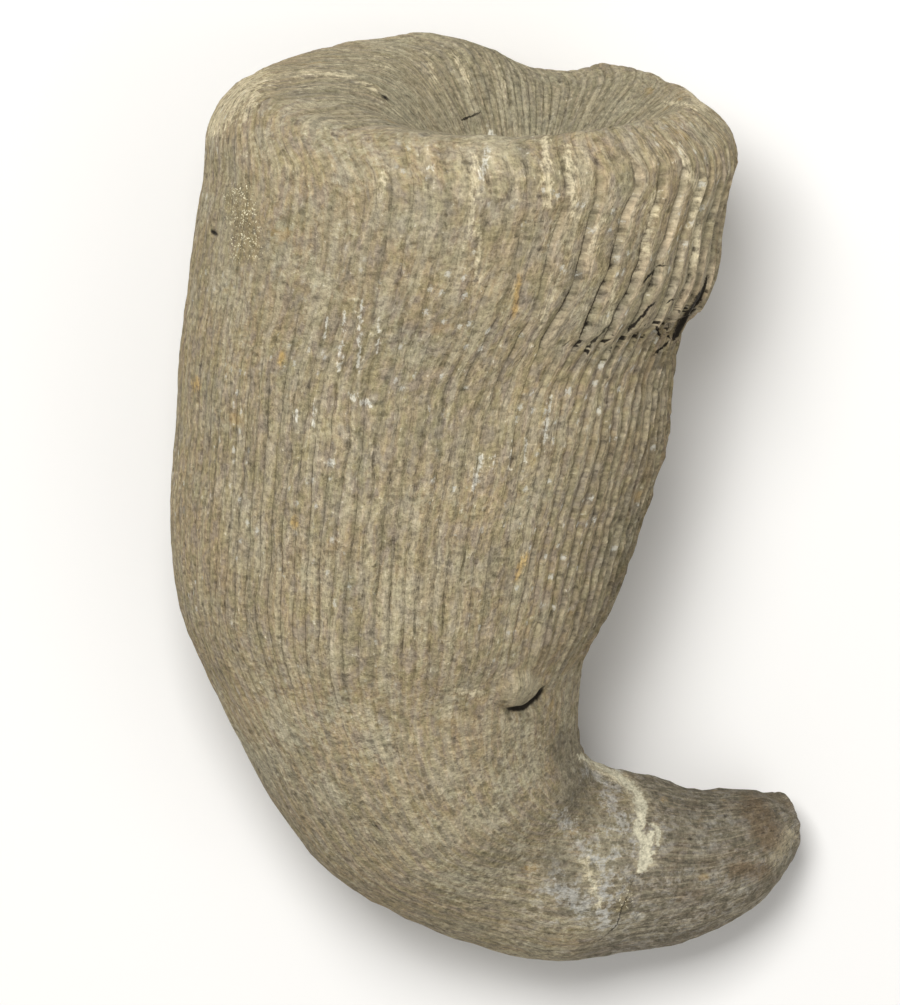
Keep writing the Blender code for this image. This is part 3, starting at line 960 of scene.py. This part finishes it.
class StoneFinish:
    """The stone's material, layer by layer."""

    def __init__(self, colours):
        self.colours = colours
        self.g = g = Graph("fossil_stone")
        in_mm = {"Vector": g.node("ShaderNodeTexCoord", {}, (), "Object"), "Scale": 1.0 / MM}
        self.place = g.node("ShaderNodeVectorMath", {"operation": "SCALE"}, in_mm)
        self.ridge, self.along, _ = g.attribute("ridge_map")
        self.off_groove = abs((self.ridge + 0.5).fraction() - 0.5)
        for names in BUNDLES:
            for name, value in zip(names, g.attribute("_".join(names))):
                setattr(self, name, value)
        self.grain = g.noise(self.place, 0.34, 3.0, 0.75)
        self.dust = g.noise(self.place, 0.13, 2.0, 0.8)
        self.mottle = g.noise(self.place, 0.6, 3.0, 0.7)
        self.fibre = self.streaks(1, 0.8, 0.36, 0.17, 3.0)
        self.broken = self.streaks(3, 1.3, 0.7, 0.6).between(0.44, 0.66)
        self.long = self.streaks(12, 1.1, 0.16, 0.8).between(0.46, 0.62)
        self.stray = self.uneven(mottle=STRAY)
        self.colour = colours.stone
        self.stone()
        self.tipward()
        self.crests()
        self.marked()
        self.grooves()
        self.grained()
        self.flecks()
        self.torn()
        g.set("Base Color", self.colour)
        self.surface()

    def drawn_out(self, seed, across, along):
        """A flat place on the ridges, counted in ridges and millimetres at these rates."""
        return self.g.vector(self.ridge * across + seed * 13.7, self.along * along + seed * 5.3)

    def streaks(self, seed, across, along, size, detail=2.0):
        return self.g.noise(self.drawn_out(seed, across, along), size, detail, 0.65, "2D")

    def uneven(self, **shares):
        """Ups and downs about 0: these shares of the noises named."""
        first, *rest = [(getattr(self, name) - 0.5) * share for name, share in shares.items()]
        return sum(rest, first)

    def lay(self, share, tint):
        """Cover this share of the stone with one of its tints."""
        self.colour = self.g.mix(share, self.colour, getattr(self.colours, tint))

    def stone(self):
        """Tan stone with grey, olive and violet patches and a thin pale dust."""
        ragged = self.uneven(grain=0.35)
        self.lay(self.warm.between(0.38, 0.62), "warm_stone")
        self.lay((self.cool + ragged).between(0.50, 0.70) * 0.5, "cool_stone_and_shade")
        tints = self.streaks(4, 0.8, 0.5, 0.7)
        self.lay(tints.between(0.50, 0.64) * 0.45, "olive_stone")
        self.lay(tints.below(0.36, 0.50) * 0.5, "violet_stone")
        self.lay((self.hazy + ragged).between(0.52, 0.70) * 0.4, "pale_stone_and_light")
        # The wart's dome: paler stone, with painted light on its lit top.
        self.lay((self.wart + ragged).below(-0.5, 0.05) * 0.55, "pale_stone_and_light")
        dust = (self.dusty + ragged * 1.4).between(0.50, 0.62)
        self.lay(dust * (0.26 + 0.24 * self.faded), "dust")
        self.lay((self.stained + ragged).between(0.54, 0.68) * 0.35, "stain")
        self.lay(self.pit * 0.55, "cool_stone_and_shade")

    def tipward(self):
        """The tip is smoother, bluer and darker, and clouded with bluish white at its start."""
        g = self.g
        self.lay(self.tip * (0.5 + 0.4 * self.blue), "tip")
        away = g.node("ShaderNodeVectorMath", {"operation": "DISTANCE"}, (self.place, CLOUD_AT), 1)
        clouded = self.hazy.between(0.40, 0.56) * away.below(CLOUD_CORE, CLOUD_REACH) * 0.8
        threads = self.mottle.between(0.47, 0.60)
        self.lay(threads * clouded.at_least(self.tip * 0.36), "cloud")
        darkened = (self.tip * 0.8).at_least(self.faded.between(0.6, 1.0) * 0.50)
        self.lay(self.mottle.below(0.40, 0.52) * darkened, "umber")
        warm = (self.blue + self.uneven(mottle=0.5)).between(0.50, 0.66)
        self.lay(warm * self.tip * 0.35, "brown")

    def crests(self):
        """Crests rubbed pale, with a painted highlight on the leaves' edges, long pale and dark
        streaks that follow the ridges, and painted shade in the hollows beyond the leaves.
        """
        streaks = self.streaks(2, 0.8, 0.25, 0.45, 3.0).between(0.52, 0.70)
        light = streaks * 0.35 + self.blade * (0.06 + 0.6 * streaks)
        self.lay(self.hollow.below(0.05, 0.5) * light, "cream")
        rubbed = self.streaks(8, 0.5, 0.3, 0.8).between(0.50, 0.62)
        # The leaves' edges: rubbed pale in streaks, with a painted highlight along each edge.
        leaf_edge = (self.ridge * 0.5).fraction().between(0.55, 0.90) * self.leaf
        self.lay(leaf_edge * (0.10 + 0.80 * rubbed), "cream")
        bands = self.streaks(5, 0.8, 0.09, 0.8)
        self.lay(bands.between(0.52, 0.62) * 0.40, "pale_stone_and_light")
        self.lay(bands.below(0.36, 0.48) * 0.35, "cool_stone_and_shade")
        # Painted shade in the hollow beyond each leaf's edge.
        self.lay(self.hollow.between(0.3, 0.8) * self.leaf * 0.35, "cool_stone_and_shade")

    def marked(self):
        """Streaks and spots that lie in the stone, the shade marks with their painted shade, and
        the veins.
        """
        ragged = self.uneven(grain=1.6, fibre=1.6)
        # The shade marks: umber mottling, and painted shade on the inner side of the bend.
        self.lay((self.shade + ragged * 0.5).between(0.2, 1.0) * 0.5, "umber")
        hazy = self.haze * 0.6 + self.uneven(mottle=1.4) + ragged * 0.4
        self.lay(hazy.between(0.30, 0.72) * 0.6, "cloud")
        self.lay((self.cream + ragged).between(0.35, 1.0) * 0.6, "cream_streak")
        off_vein = abs(self.vein_side + self.stray + ragged * 0.04)
        off_vein = off_vein / (self.vein_width * 1.15).at_least(0.01)
        vein_here = self.vein_width.between(0.0, 0.10) * self.upward
        halo = off_vein.below(0.9, 2.6) * vein_here
        self.lay(halo * (0.25 + 0.3 * self.broken), "cream_streak")
        self.lay((off_vein + ragged * 0.15).below(0.6, 1.15) * vein_here * 0.95, "vein")
        self.lay((self.white + ragged * 1.2).between(0.40, 1.0) * 0.62, "calcite")
        self.lay((self.ochre + ragged * 0.6).between(0.30, 1.0) * 0.5, "ochre")
        self.lay((self.brown + ragged * 0.6).between(0.2, 0.9) * 0.55, "brown")
        self.lay((self.glint + ragged * 0.5).between(0.1, 0.8) * 0.55, "olive")

    def grooves(self):
        """Thin dark lines between the ridges, which come and go along their length: dark grime with
        painted shade in the grooves, and painted shadow in the gaps between the leaves.
        """
        wobble = self.uneven(grain=0.35, fibre=0.25)
        off_groove = self.off_groove + wobble
        # The thin line is dark grime and painted shade; the soft band round it is painted shade.
        line, soft_shade = off_groove.below(0.02, 0.16), off_groove.below(0.02, 0.42)
        clear = (self.clear + self.uneven(grain=0.2)).between(0.38, 0.58)
        seen = 0.04 + self.long * (0.16 + 0.64 * self.broken) * (0.4 + 0.6 * clear)
        faint_shade = soft_shade * (0.06 + 0.12 * clear + 0.12 * self.long)
        worn = (1.0 - 0.5 * self.leaf) * (1.0 - 0.85 * self.faded)
        # Painted shade in the hollows beside the blades.
        beside_blades = self.hollow.between(0.42, 0.90) * self.blade * (1.0 - self.leaf)
        painted_deep_shade = beside_blades * (0.3 + 0.9 * self.broken)
        self.lay(((line * seen).at_least(faint_shade) * worn).at_least(painted_deep_shade) * 0.9, "groove")
        # Painted shadow in the gap beyond each leaf's edge.
        off_gap = abs((self.ridge * 0.5 + (0.5 - GAP_AT)).fraction() - 0.5)
        gap = (off_gap + wobble * 0.2).below(0.012, 0.034 + 0.016 * self.gap)
        open_here = self.streaks(6, 0.7, 0.4, 0.9).between(0.38, 0.50)
        self.lay(gap * (0.25 * self.leaf + self.gap * open_here) * 0.92, "gap")

    def grained(self):
        """Salt and pepper: pale and dark grains in the stone, drawn out along the ridges."""
        g = self.g
        grit = g.parts(g.cells(self.drawn_out(14, 0.5, 1.0), 0.16, "Color"))[0]
        fibre = self.uneven(fibre=1.3) * (1.0 - 0.85 * self.faded)
        grains = self.uneven(grain=0.80 + 0.80 * self.faded, dust=0.6) + (grit - 0.5) * 0.32
        hollows = g.cells(self.drawn_out(15, 0.5, 1.0), 1.5) + self.uneven(dust=0.15)
        pits = 0.7 + 0.3 * hollows.between(0.05, 0.14)
        # self.tone brings in the painted shade of the inner side and the bend.
        shade = (1.0 + fibre + grains) * pits * self.tone
        self.colour = g.mix(1.0, self.colour, g.vector(shade, shade, shade), "MULTIPLY")

    def flecks(self):
        """Scattered flecks of calcite and spots of ochre."""
        flecks = self.g.cells(self.drawn_out(2, 0.8, 0.6), 0.9) + self.uneven(dust=0.4)
        chosen = (self.rusty + self.uneven(mottle=0.6)).between(0.50, 0.62) * (1.0 - self.faded)
        self.lay(flecks.below(0.04, 0.16) * chosen * 0.55, "calcite")
        spots = self.g.cells(self.drawn_out(9, 0.5, 1.0), 4.6) + self.uneven(grain=0.2)
        self.lay(spots.below(0.03, 0.12) * self.rusty.between(0.52, 0.62) * 0.22, "ochre")

    def torn(self):
        """Painted shade in holes, cracks, the torn notches below the ledge and the wart's ditch,
        and painted glints on the sparkling grains.
        """
        ragged = self.uneven(grain=0.5, fibre=0.5)
        off_crack = abs(self.crack_side + self.stray * 0.5 + ragged * 0.16)
        off_crack = off_crack / self.crack_width.at_least(0.01)
        crack_here = self.crack_width.between(0.0, 0.06) * self.upward
        # The wart's ditch is painted as a dark crescent shadow.
        off_wart = abs(self.wart) + ragged * 0.1
        ditch = off_wart.below(0.10 * self.scar, 0.18 * self.scar + 0.03) * self.scar
        notch_shade = (self.off_groove + ragged * 0.25).below(0.05, 0.20)
        notch_shade = notch_shade * self.streaks(10, 1.0, 1.3, 0.6).between(0.52, 0.60)
        dark = (self.dark + ragged).between(0.35, 0.75).at_least(ditch)
        dark = dark.at_least(off_crack.below(0.6, 1.4) * crack_here)
        dark = dark.at_least(notch_shade * self.torn_edge.between(0.15, 0.6))
        # All of this darkening is painted shade.
        self.lay(dark * 0.97, "pit")
        # Painted glints on the sparkling grains.
        sparks = (self.dust + self.uneven(mottle=0.5)).between(0.60, 0.68)
        self.lay((self.glint * sparks).between(0.12, 0.5), "painted_glint")

    def surface(self):
        """Dull stone with glints, its grain and fibres standing out a little."""
        g = self.g
        shiny = (self.glint + self.white * 0.4).at_most(1.0)
        g.set("Roughness", 0.86 + self.uneven(grain=0.25) - shiny * 0.35)
        g.set("Specular IOR Level", 0.15)
        between_blades = (1.0 - self.blade) * (1.0 - self.faded)
        groove = self.off_groove.between(0.0, 0.12) * 0.04 * between_blades
        fibre = self.fibre * 0.10 * (1.0 - 0.9 * self.faded)
        height = self.grain * (0.13 + 0.05 * self.faded) + fibre + groove - self.dark * 0.15
        bump = {"Strength": 1.0, "Distance": MM, "Height": height}
        g.set("Normal", g.node("ShaderNodeBump", {}, bump))


def plain_finish(name, colour, roughness):
    g = Graph(name)
    g.set("Base Color", colour)
    g.set("Roughness", roughness)
    return g.material


def colour_property(name, description, default):
    return bpy.props.FloatVectorProperty(
        name=name,
        description=description,
        default=(*default, 1.0),
        subtype="COLOR",
        size=4,
        min=0.0,
        max=1.0,
    )


def number_property(name, description, default, **settings):
    return bpy.props.FloatProperty(
        name=name, description=description, default=default, min=0.0, **settings
    )


def length_property(name, description, millimetres):
    return number_property(name, description, millimetres * MM, unit="LENGTH", precision=5)


class CoralShape(bpy.types.PropertyGroup):
    """Sizes of the coral's relief."""

    groove: length_property("Groove", "Depth of the groove beside a plain ridge", 0.10)
    pit_groove: length_property("Groove in the pit", "The same, inside the calice", 0.09)
    worn_groove: length_property("Worn groove", "The same, where the ridges are worn", 0.015)
    blade: length_property("Blade", "Depth of the gap beside a leaf-like ridge", 0.32)
    wander: length_property("Wander", "How far a ridge strays from its line", 0.28)
    flare: length_property("Flare", "How far the last growth stage stands out", 0.6)
    wart_radius: length_property("Wart", "Radius of the round wart", 1.28)


class CoralColours(bpy.types.PropertyGroup):
    """Colours of the stone."""

    stone: colour_property("Stone", "Grey-tan of most of the coral", (0.30, 0.243, 0.150))
    warm_stone: colour_property("Warm stone", "Tan patches", (0.34, 0.263, 0.155))
    # Also painted shade in the hollows beyond the leaves.
    cool_stone_and_shade: colour_property("Cool stone", "Olive-grey patches", (0.215, 0.197, 0.130))
    # Also painted light on the wart's dome.
    pale_stone_and_light: colour_property("Pale stone", "Dusty patches", (0.42, 0.375, 0.255))
    olive_stone: colour_property("Olive stone", "Olive streaks", (0.27, 0.235, 0.115))
    violet_stone: colour_property("Violet stone", "Violet-grey streaks", (0.27, 0.225, 0.185))
    tip: colour_property("Tip", "Grey of the tip", (0.185, 0.158, 0.122))
    # Also a painted highlight along the leaves' edges.
    cream: colour_property("Cream", "Crests of the ridges", (0.50, 0.40, 0.265))
    cream_streak: colour_property("Cream streak", "Veins and streaks", (0.62, 0.54, 0.36))
    # Dark grime and painted shade in the grooves, and painted shade beside the blades.
    groove: colour_property("Groove", "Between the ridges", (0.070, 0.056, 0.036))
    # Painted shadow in the gaps between the leaves.
    gap: colour_property("Gap", "Between the leaves", (0.026, 0.019, 0.012))
    vein: colour_property("Vein", "Veins near the tip", (0.70, 0.65, 0.48))
    cloud: colour_property("Cloud", "Bluish white above the tip", (0.46, 0.45, 0.41))
    dust: colour_property("Dust", "Thin pale film", (0.385, 0.36, 0.255))
    stain: colour_property("Stain", "Brownish streaks", (0.285, 0.215, 0.125))
    calcite: colour_property("Calcite", "White flecks", (0.64, 0.63, 0.55))
    ochre: colour_property("Ochre", "Rusty spots", (0.50, 0.31, 0.08))
    brown: colour_property("Brown", "Stain near the broken end", (0.17, 0.11, 0.058))
    umber: colour_property("Umber", "Mottling of the bend and the tip", (0.145, 0.128, 0.092))
    olive: colour_property("Olive", "Ground of the sparkling patch", (0.21, 0.165, 0.075))
    # Painted glints.
    painted_glint: colour_property("Gilt", "Glints of the sparkling patch", (0.80, 0.74, 0.52))
    # Painted shade in holes, cracks, torn notches and the wart's ditch.
    pit: colour_property("Pit", "Deep holes and cracks", (0.012, 0.009, 0.006))


class StageSettings(bpy.types.PropertyGroup):
    """Floor, lights and camera."""

    floor: colour_property("Floor", "Colour of the floor", (0.80, 0.79, 0.77))
    key_power: number_property("Key light", "Power of the main light", 1.04, unit="POWER")
    fill_power: number_property("Fill light", "Power of the light opposite", 0.50, unit="POWER")
    room_light: number_property("Room light", "Brightness of the room", 0.40)
    tilt: number_property("Tilt", "From straight down", SEEN_TILT, subtype="ANGLE")
    distance: number_property("Distance", "From the camera to the coral", 0.4, unit="LENGTH")


def add_object(context, name, data):
    made = bpy.data.objects.new(name, data)
    context.scene.collection.objects.link(made)
    return made


class BuildCoral(bpy.types.Operator):
    """Build the coral's fine mesh and give it its stone finish"""

    bl_idname = "coral.build_horn"
    bl_label = "Build the coral"

    def execute(self, context):
        mesh = horn_mesh(Skin(Horn(), context.scene.coral_shape))
        piece = add_object(context, "horn_coral_skin", mesh)
        mesh.materials.append(StoneFinish(context.scene.coral_colours).g.material)
        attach(piece, "root")
        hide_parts(NODE)
        return {"FINISHED"}


FLOOR_SIZE = 3.0
FLOOR_ROUGHNESS = 0.9
ROOM_COLOUR = (1.0, 0.99, 0.97, 1.0)
KEY_SIZE = 0.14
KEY_PLACE = (-0.055, 0.13, 0.30)
FILL_SIZE = 0.40
FILL_PLACE = (0.28, -0.20, 0.34)
AIM = (-2.11 * MM, 0.351 * MM, 10.0 * MM)
PIXEL = 0.054 * MM  # on the plane of the aim
FRAME_HEIGHT = 1005
SENSOR = 36.0


def area_light(context, name, power, size, place):
    data = bpy.data.lights.new(name, "AREA")
    data.energy = power
    data.size = size
    made = add_object(context, name, data)
    made.location = place
    made.rotation_mode = "QUATERNION"
    made.rotation_quaternion = (Vector(AIM) - Vector(place)).to_track_quat("-Z", "Y")


class BuildStage(bpy.types.Operator):
    """Lay the floor, hang the lights and place the camera"""

    bl_idname = "coral.build_stage"
    bl_label = "Build the stage"

    def execute(self, context):
        settings = context.scene.coral_stage
        self.lay_floor(context, settings)
        area_light(context, "key_light", settings.key_power, KEY_SIZE, KEY_PLACE)
        area_light(context, "fill_light", settings.fill_power, FILL_SIZE, FILL_PLACE)
        world = bpy.data.worlds.new("room")
        world.use_nodes = True
        background = world.node_tree.nodes["Background"]
        background.inputs["Color"].default_value = ROOM_COLOUR
        background.inputs["Strength"].default_value = settings.room_light
        context.scene.world = world
        context.scene.view_settings.view_transform = "Standard"
        self.place_camera(context, settings)
        return {"FINISHED"}

    @staticmethod
    def lay_floor(context, settings):
        mesh = bpy.data.meshes.new("floor")
        shape = bmesh.new()
        bmesh.ops.create_grid(shape, x_segments=1, y_segments=1, size=FLOOR_SIZE / 2)
        shape.to_mesh(mesh)
        shape.free()
        mesh.materials.append(plain_finish("pale_floor", settings.floor, FLOOR_ROUGHNESS))
        add_object(context, "floor", mesh)

    @staticmethod
    def place_camera(context, settings):
        data = bpy.data.cameras.new("camera")
        camera = add_object(context, "camera", data)
        back = Vector((0.0, math.sin(settings.tilt), math.cos(settings.tilt)))
        camera.location = Vector(AIM) + back * settings.distance
        camera.rotation_euler = (-settings.tilt, 0.0, 0.0)
        data.sensor_width = SENSOR
        data.lens = SENSOR * settings.distance / (FRAME_HEIGHT * PIXEL)
        data.clip_start = 0.01
        context.scene.camera = camera


class CoralPanel(bpy.types.Panel):
    """The coral's tools"""

    bl_idname = "VIEW3D_PT_horn_coral"
    bl_label = "Horn Coral"
    bl_space_type = "VIEW_3D"
    bl_region_type = "UI"
    bl_category = "Coral"

    def draw(self, context):
        for operator in (BuildCoral, BuildStage):
            self.layout.operator(operator.bl_idname)
        for group_name, group in GROUPS.items():
            for name in group.__annotations__:
                self.layout.prop(getattr(context.scene, group_name), name)


GROUPS = {"coral_shape": CoralShape, "coral_colours": CoralColours, "coral_stage": StageSettings}
CLASSES = (*GROUPS.values(), BuildCoral, BuildStage, CoralPanel)


def register():
    for each in CLASSES:
        bpy.utils.register_class(each)
    for name, group in GROUPS.items():
        setattr(bpy.types.Scene, name, bpy.props.PointerProperty(type=group))


def unregister():
    for name in GROUPS:
        delattr(bpy.types.Scene, name)
    for each in reversed(CLASSES):
        bpy.utils.unregister_class(each)


def main():
    register()
    bpy.ops.coral.build_horn()
    bpy.ops.coral.build_stage()


if __name__ == "__main__":
    main()
